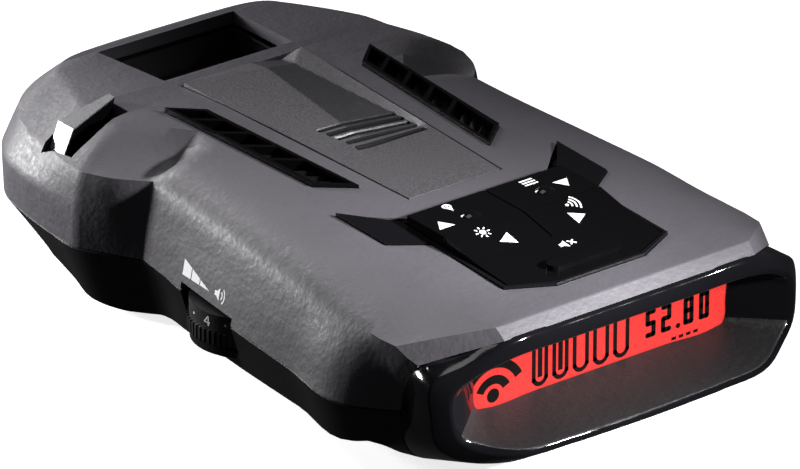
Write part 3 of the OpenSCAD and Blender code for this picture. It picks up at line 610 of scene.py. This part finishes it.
PLATE_BASE, PLATE_REAR, PLATE_FRONT = 27.8, (-18.8, 29.15), (38.1, 29.95)
GROOVES, GROOVE_PITCH, GROOVE_FRONT = 5, 2.02, 8.7
GROOVE_LEFT, GROOVE_RIGHT, GROOVE_HALF, GROOVE_DEPTH, GROOVE_BEND = -6, 9.2, 0.62, 0.8, 0.16
RIDGE_LIFT, VALLEY_DROP, FRONT_FALL = 0.6, 0.5, 0.16


def groove_depth(x, y, ridge):
    """Depth of the five grooves, which bend forward to the left of the ridge."""
    depth = 0.0
    bend = max(ridge - x, 0) * GROOVE_BEND
    for i in range(GROOVES):
        off = abs(y - (GROOVE_FRONT - GROOVE_PITCH * i) - bend)
        if GROOVE_LEFT + 0.35 * i < x < GROOVE_RIGHT:
            depth += max(1.0 - off / GROOVE_HALF, 0) ** 0.5 * GROOVE_DEPTH
    return depth


def ridge_at(y):
    """X of the plate's ridge."""
    return float(np.interp(y, [0.9, 9.7, 33.8], [-2.4, -1.4, 1.8]))


def valley_at(y):
    """X of the plate's valley."""
    return float(np.interp(y, [0, 8.8, 34.3], [9.6, 9.1, 7.8]))


def plate_height(x, y):
    """Top of the plate: a ridge and a valley run forward from the grooves, and the front strip turns down."""
    z = np.interp(y, [PLATE_REAR[0], PLATE_FRONT[0]], [PLATE_REAR[1], PLATE_FRONT[1]])
    ridge = ridge_at(y)
    valley = valley_at(y)
    edge = np.interp(y, [PLATE_REAR[0], PLATE_FRONT[0]], [9.2, 12.1])
    if x < ridge:
        lift = RIDGE_LIFT * (x + edge) / (ridge + edge)
    elif x < valley:
        lift = RIDGE_LIFT - (RIDGE_LIFT + VALLEY_DROP) * (x - ridge) / (valley - ridge)
    else:
        lift = -VALLEY_DROP * (edge - x) / max(edge - valley, 0.5)
    z += lift * np.clip((y - 0.5) / 3, 0, 1)
    front = np.interp(x, [-11.8, 1.8, 7.8, 12.2], [38.5, 33.8, 34.3, 38.2])
    return z - max(y - front, 0) * FRONT_FALL - groove_depth(x, y, ridge)


NX, NY = 73, 321
across, along = np.linspace(-1, 1, NX), np.linspace(PLATE_REAR[0], PLATE_FRONT[0], NY)
verts = []
for y in along:
    # The rows follow the bend of the grooves
    follow = GROOVE_BEND * float(np.interp(y, [-8, -1, 11, 18], [0, 1, 1, 0]))
    half_width = np.interp(y, [PLATE_REAR[0], PLATE_FRONT[0]], [9.2, 12.1])
    for x in across * half_width:
        row_y = y + max(ridge_at(y) - x, 0) * follow
        verts.append((x, row_y, float(plate_height(x, row_y))))
last_row = (NY - 1) * NX
faces = [[r + c, r + c + 1, r + NX + c + 1, r + NX + c]
         for r in range(0, last_row, NX) for c in range(NX - 1)]
border = [*range(NX), *range(2 * NX - 1, last_row + NX, NX)]
border += [*range(last_row + NX - 2, last_row - 1, -1), *range(last_row - NX, 0, -NX)]
base = len(verts)
verts += [(verts[i][0], verts[i][1], PLATE_BASE) for i in border]
n = len(border)
faces += [[border[i], border[(i + 1) % n], base + (i + 1) % n, base + i] for i in range(n)]
faces.append([base + i for i in range(n)])
plate = new_piece("gps_cover", verts, faces, mat=mats["plate_metallic"],
                  replaces=["gps_plate"], smooth=14)
plate.data.materials.append(mats["groove_black"])
# The wedge facet between ridge and valley takes the darker copy of the sparkle: painted shade
plate.data.materials.append(mats["plate_painted_shade"])
GROOVE_SLOT, WEDGE_SHADE_SLOT, WEDGE_REAR = 1, 2, 3
for face in plate.data.polygons:
    x, y = face.center.x / MM, face.center.y / MM
    if face.normal.z > 0 and groove_depth(x, y, ridge_at(y)) > 0:
        face.material_index = GROOVE_SLOT
    elif ridge_at(y) < x < valley_at(y) and y > WEDGE_REAR:
        face.material_index = WEDGE_SHADE_SLOT


SLATS, SLAT_REAR, SLAT_PITCH, SLAT_THICK = 14, -9.2, 2.7, 0.35


def vent_slats(s):
    """Slanted louvres in the six windows of a vent."""
    verts, faces = [], []
    for i in range(SLATS):
        y0 = SLAT_REAR + SLAT_PITCH * i
        shift = 0.38 * i / 2.9
        x0, x1 = 14.4 + shift, 19.8 + shift
        bar = [(x0, y0 + 0.4, 28.9), (x1, y0 + 4.8, 28.9), (x1, y0 + 2.4, 26.6), (x0, y0 - 2.0, 26.6)]
        n = len(verts)
        verts += [(s * x, y, z - down) for down in (0, SLAT_THICK) for x, y, z in bar]
        faces += [[n + k for k in face] for face in tube_faces(4)]
    # The left louvres take a blacker material than the right ones: painted shade on the left vent
    hand, slat_painted_shade = ("left", "groove_black") if s == LEFT else ("right", "hood_lining")
    piece = new_piece("vent_slats_" + hand, verts, faces, mat=mats[slat_painted_shade], smooth=20)
    cut(piece, [prism(vent_outline(-0.75, s), 20, ABOVE_CASE)], "INTERSECT")
    tidy(piece, 20)
    nodes[hand + "_vent_grille"].material_slots[0].material = mats["button_black"]


vent_slats(LEFT)
vent_slats(RIGHT)

# Strip under the rear gap of the keypad, which keeps the display's glow in
KEY_CLEARANCE, BAFFLE_THICK = 0.9, 0.4
baffle_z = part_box("mute_button")[0][2] / MM - KEY_CLEARANCE
baffle_plan = [(-14.5, -53.2), (14.5, -53.2), (14.5, -56), (-14.5, -56)]
verts = [(x, y, z) for z in (baffle_z, baffle_z - BAFFLE_THICK) for x, y in baffle_plan]
new_piece("keypad_baffle", verts, tube_faces(4), mat=mats["groove_black"], smooth=0)

# Black sheet on the rear face of the lever, painted shade, as points (x, z)
lever_face = [(-25.1, 30.3), (-34.5, 27.85), (-36.5, 23.7), (-36.1, 22.8), (-27, 22.8), (-26.5, 26.5)]
lever_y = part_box("release_lever")[0][1] / MM
lever_rear = [np.interp(x, [-34.6, -24], [lever_y, lever_y + 2]) for x, _ in lever_face]
verts = [(x, y + off, z) for off in (-0.25, 0.05) for (x, z), y in zip(lever_face, lever_rear)]
new_piece("lever_rear_painted_shade", verts, tube_faces(len(lever_face)), body="lever", mat=mats["button_black"],
          smooth=20)

keys = {key + "_button": 0.3 for key in ("mark", "menu", "dim", "sen", "mute")}
trim = {"left_vent_grille": 0.22, "right_vent_grille": 0.22, "button_surround": 0.22, "release_lever": 0.35,
        "volume_wheel": 0.08, "mount_socket": 0.2, "power_jack": 0.15, "audio_jack": 0.1, "usb_port": 0.08,
        "front_window": 0.2}
for name, width in {**keys, **trim}.items():
    soften(name, width)

# ---- Printed marks ----


ARC_STEPS, DISC_SIDES = 14, 24


def arc(cx, cy, radius, turns):
    return [(cx + radius * math.cos(a), cy + radius * math.sin(a)) for a in turns]


def ring_bar(cx, cy, radius, width, a0, a1):
    """Arc-shaped bar, in degrees."""
    t = np.radians(np.linspace(a0, a1, ARC_STEPS))
    return arc(cx, cy, radius + width / 2, t) + arc(cx, cy, radius - width / 2, t[::-1])


def bar(x0, y0, x1, y1, width=0.28):
    """Straight bar between two points."""
    d = np.array([x1 - x0, y1 - y0], float)
    d /= np.linalg.norm(d)
    o = np.array([-d[1], d[0]]) * width / 2
    return [(x0 + o[0], y0 + o[1]), (x0 - o[0], y0 - o[1]), (x1 - o[0], y1 - o[1]), (x1 + o[0], y1 + o[1])]


def disc(cx, cy, radius):
    return circle(cx, cy, radius, DISC_SIDES)


PRINT_RISE = 0.02


def marks(name, shapes, place, body, mat="print_white", depth=0.05):
    """Thin printed shapes. place turns a flat (u, v, height) into a point in mm."""
    verts, faces = [], []
    for shape in shapes:
        n, k = len(verts), len(shape)
        verts += [place(u, v, h) for h in (PRINT_RISE, -depth) for u, v in shape]
        faces += [[n + i for i in face] for face in tube_faces(k)]
    return new_piece(name, verts, faces, body=body, mat=mats[mat], smooth=0)


def key_plane(x, y, spans):
    """Places marks at (x, y) on a key whose top runs straight between two points (y, z)."""
    y0, z0, y1, z1 = spans
    rise = (z1 - z0) / (y1 - y0)
    return lambda u, v, h: (x + u, y + v, z0 + rise * (y + v - y0) + h)


# Rear and front end (y, z) of each row of keys
TOP_ROW = (-36.4, 30.7, -26.3, 30.8)
MID_ROW = (-43.6, 29.1, -36.4, 30.7)
LOW_ROW = (-55, 28.1, -43.6, 29.1)
ARROW_HALF, ARROW_HIGH = 1.5, 2.5
up = [(-ARROW_HALF, -ARROW_HIGH / 2), (ARROW_HALF, -ARROW_HIGH / 2), (0, ARROW_HIGH / 2)]
down, left, right = ([(u, -v) for u, v in up], [(-v, u) for u, v in up], [(v, u) for u, v in up])
pin = [ring_bar(0, 0.55, 0.62, 0.34, -40, 220), [(-0.62, 0.15), (0.62, 0.15), (0, -1.35)],
       disc(0, 0.55, 0.24)]
menu = [bar(-1.3, y, 1.3, y, 0.36) for y in (-0.8, 0, 0.8)]
rays = zip(circle(0, 0, 0.85, 8), circle(0, 0, 1.35, 8))
sun = [disc(0, 0, 0.55)] + [bar(*near, *far, 0.24) for near, far in rays]
waves = [disc(-1.1, -0.2, 0.3)] + [ring_bar(-1.1, -0.2, r, 0.3, -45, 45) for r in (0.85, 1.55, 2.25)]
horn = [[(-1.3, -0.4), (-0.7, -0.4), (0.05, -1.05), (0.05, 1.05), (-0.7, 0.4), (-1.3, 0.4)]]
mute = horn + [bar(0.55, -0.6, 1.65, 0.6, 0.3), bar(0.55, 0.6, 1.65, -0.6, 0.3)]
marks("mark_arrow", [up], key_plane(-13.1, -32.4, TOP_ROW), "mark_key")
marks("mark_icon", pin, key_plane(-8.6, -28.2, TOP_ROW), "mark_key")
marks("menu_arrow", [down], key_plane(11.8, -32.1, TOP_ROW), "menu_key")
marks("menu_icon", menu, key_plane(7.4, -28.4, TOP_ROW), "menu_key")
marks("dim_arrow", [left], key_plane(-7.2, -41.1, MID_ROW), "dim_key")
marks("dim_icon", sun, key_plane(-9.4, -37.9, MID_ROW), "dim_key")
marks("sen_arrow", [right], key_plane(7.4, -41.3, MID_ROW), "sen_key")
marks("sen_icon", waves, key_plane(8.6, -37.9, MID_ROW), "sen_key")
marks("mute_icon", mute, key_plane(0.4, -46.7, LOW_ROW), "mute_key")

# Volume wedge and speaker on the shoulder, dropped onto the skin from the left
skin_tree = BVHTree.FromObject(case_top, bpy.context.evaluated_depsgraph_get())


WALL_TILT, WALL_X, RAY_START = 0.45, -38, 0.08


def on_left_wall(y, z):
    """Places marks on the left wall round a point, with u running to the rear."""
    look = Vector((1, 0, -WALL_TILT)).normalized()
    v_axis = Vector((WALL_TILT, 0, 1)).normalized()

    def place(u, v, h):
        start = (Vector((WALL_X, y - u, z)) + v_axis * v) * MM - look * RAY_START
        hit = skin_tree.ray_cast(start, look)[0] / MM
        return hit - look * h

    return place


def wedge_part(u0, u1):
    """One block of a wedge that falls from WEDGE_HIGH to nothing along its length."""
    top = [(u, 0.05 + WEDGE_HIGH * (1 - u / WEDGE_LONG)) for u in (u1, u0)]
    return [(u0, 0), (u1, 0)] + top


WEDGE_HIGH, WEDGE_LONG = 2.6, 8.2
wedge = [wedge_part(0, 2.5), wedge_part(2.75, 5.2), wedge_part(5.45, 8.2)]
speaker = horn + [ring_bar(0.1, 0, r, 0.28, -50, 50) for r in (0.8, 1.5)]
marks("volume_wedge", wedge, on_left_wall(5.7, 15.2), "housing")
marks("volume_icon", speaker, on_left_wall(-5.6, 15.7), "housing")


WHEEL_RADIUS, WHEEL_BAND_Z, DIGIT_SHIFT = 9.6, 10.7, 1.5


def on_wheel(u, v, h):
    """Wraps marks round the volume wheel's rim, with u running to the rear."""
    radius = WHEEL_RADIUS + h
    a = math.pi + (u + DIGIT_SHIFT) / WHEEL_RADIUS
    return (WHEEL.x + radius * math.cos(a), WHEEL.y + radius * math.sin(a), WHEEL_BAND_Z + v)


four = [bar(0.35, -0.85, 0.35, 0.85, 0.26), bar(-0.55, -0.25, 0.7, -0.25, 0.24),
        bar(-0.55, -0.25, 0.3, 0.85, 0.24)]
step_dots = [disc(x, 0, 0.22) for x in (3.6, -3.6)]
marks("wheel_marks", four + step_dots, on_wheel, "wheel")

# ---- Display ----

WINDOW_Y, WINDOW_Z = -55.92, 15.5


def on_display(u, v, h):
    """Places marks on the display window, which faces the rear."""
    return (u, WINDOW_Y - h, WINDOW_Z + v)


def outline_bar(x, width, height, line):
    """U-shaped outline of one level bar."""
    top, low = height / 2, -height / 2
    legs = [bar(leg, top, leg, low + 0.6, line) for leg in (x, x + width)]
    return legs + [ring_bar(x + width / 2, low + width / 2, width / 2, line, 180, 360)]


# Ends of each segment of a digit, in half widths and half heights
SEGMENTS = {"a": (0, 2, 1, 2), "b": (1, 2, 1, 1), "c": (1, 1, 1, 0), "d": (0, 0, 1, 0), "e": (0, 0, 0, 1),
            "f": (0, 1, 0, 2), "g": (0, 1, 1, 1)}
DIGITS = {"2": "abged", "5": "afgcd", "8": "abcdefg", "0": "abcdef"}
DIGIT_WIDE, DIGIT_HALF, DIGIT_LINE = 1.24, 2.0, 0.85


def digit(ch, x):
    """Seven-segment digit with rounded ends."""
    shapes = []
    for s in DIGITS[ch]:
        x0, y0, x1, y1 = SEGMENTS[s]
        ends = [(x + px * DIGIT_WIDE, (py - 1) * DIGIT_HALF) for px, py in ((x0, y0), (x1, y1))]
        shapes.append(bar(*ends[0], *ends[1], DIGIT_LINE))
        shapes += [disc(*end, DIGIT_LINE / 2) for end in ends]
    return shapes


# Signal icon, five level bars with two of them filled, four digits and a row of dashes
LEVELS, FILLED, LEVEL_PITCH, LEVEL_X, LEVEL_WIDE = 5, 2, 4.1, -13.4, 2.5
display = [ring_bar(-21.5, -3.2, r, 1.5, 25, 155) for r in (2.9, 5.6)] + [disc(-21.5, -3.0, 1.2)]
for i in range(LEVELS):
    level_x = LEVEL_X + LEVEL_PITCH * i
    middle = level_x + LEVEL_WIDE / 2
    display += outline_bar(level_x, LEVEL_WIDE, 7.6, 0.75)
    if i < FILLED:
        display.append(bar(middle, -2.6, middle, 3.4, 0.9))
for x, ch in [(9.6, "5"), (12.8, "2"), (17.4, "8"), (20.6, "0")]:
    display += digit(ch, x)
display.append(disc(15.9, -2.1, 0.45))
display += [bar(14.6 + 1.5 * i, -4.1, 15.5 + 1.5 * i, -4.1, 0.5) for i in range(4)]
marks("display_marks", display, on_display, "housing", "print_black", 0.03)
nodes["display_window"].material_slots[0].material = mats["display_red"]

# ---- Camera, light and floor ----

AIM = Vector((0, -0.008, 0.021))
AZIMUTH, ELEVATION, DISTANCE = math.radians(37.83), math.radians(25.09), 1.1372
level = math.cos(ELEVATION)
back = Vector((-math.sin(AZIMUTH) * level, -math.cos(AZIMUTH) * level, math.sin(ELEVATION)))
camera = bpy.data.objects.new("camera", bpy.data.cameras.new("camera"))
camera.data.lens, camera.data.sensor_width = 316.7, 36
camera.data.shift_x, camera.data.shift_y = -0.0166, -0.0345
camera.data.clip_start, camera.data.clip_end = 0.05, 20
camera.location = AIM + back * DISTANCE
camera.rotation_euler = (-back).to_track_quat("-Z", "Y").to_euler()
scene.collection.objects.link(camera)
scene.camera = camera


def lamp(name, data, place, aim):
    """Puts a light at place, facing aim and unseen by the camera."""
    obj = bpy.data.objects.new(name, data)
    obj.location = place
    obj.rotation_euler = (Vector(aim) - Vector(place)).to_track_quat("-Z", "Y").to_euler()
    obj.visible_camera = False
    scene.collection.objects.link(obj)


def softbox(name, place, size, power):
    """Square light that faces the middle of the object."""
    data = bpy.data.lights.new(name, "AREA")
    data.shape, data.size, data.energy = "SQUARE", size, power
    lamp(name, data, place, (0, 0, 0.01))


def snoot(name, place, aim, angle, power, radius):
    """Round light that fades out towards the edge of its cone."""
    data = bpy.data.lights.new(name, "SPOT")
    data.energy, data.shadow_soft_size = power, radius
    data.spot_size, data.spot_blend = math.radians(angle), 1.0
    lamp(name, data, place, aim)


softbox("front_high", (-0.05, 0.85, 0.42), 0.3, 6.5)
softbox("overhead", (0.0, 0.3, 1.0), 0.5, 2.2)
snoot("rear_right", (0.2, -0.42, 0.24), (-0.012, -0.05, 0.028), 12, 58, 0.03)
snoot("front_left", (-0.125, 0.19, 0.045), (-0.045, 0.06, 0.018), 46, 2.6, 0.02)

world = bpy.data.worlds.new("studio")
world.use_nodes = True
sky = world.node_tree.nodes["Background"]
sky.inputs["Color"].default_value = (0.9, 0.92, 0.95, 1)
sky.inputs["Strength"].default_value = 0.035
scene.world = world
scene.view_settings.view_transform = "Standard"

# The floor glows a little to stay pale, and neither lights the object nor shows in its gloss
FLOOR_HALF, FLOOR_DROP = 3000, 0.00005
paper = moulded("floor_paper", (0.93, 0.93, 0.93), 0.9, 60, 0.01)
glow = paper.node_tree.nodes["Principled BSDF"]
glow.inputs["Emission Color"].default_value = (1, 1, 1, 1)
glow.inputs["Emission Strength"].default_value = 0.8
floor_points = [(x * FLOOR_HALF, y * FLOOR_HALF, 0) for x, y in ((-1, -1), (1, -1), (1, 1), (-1, 1))]
floor = new_piece("floor", floor_points, [[0, 1, 2, 3]], body=None, mat=paper, smooth=0)
floor.location.z = -FLOOR_DROP
floor.visible_diffuse = floor.visible_glossy = False
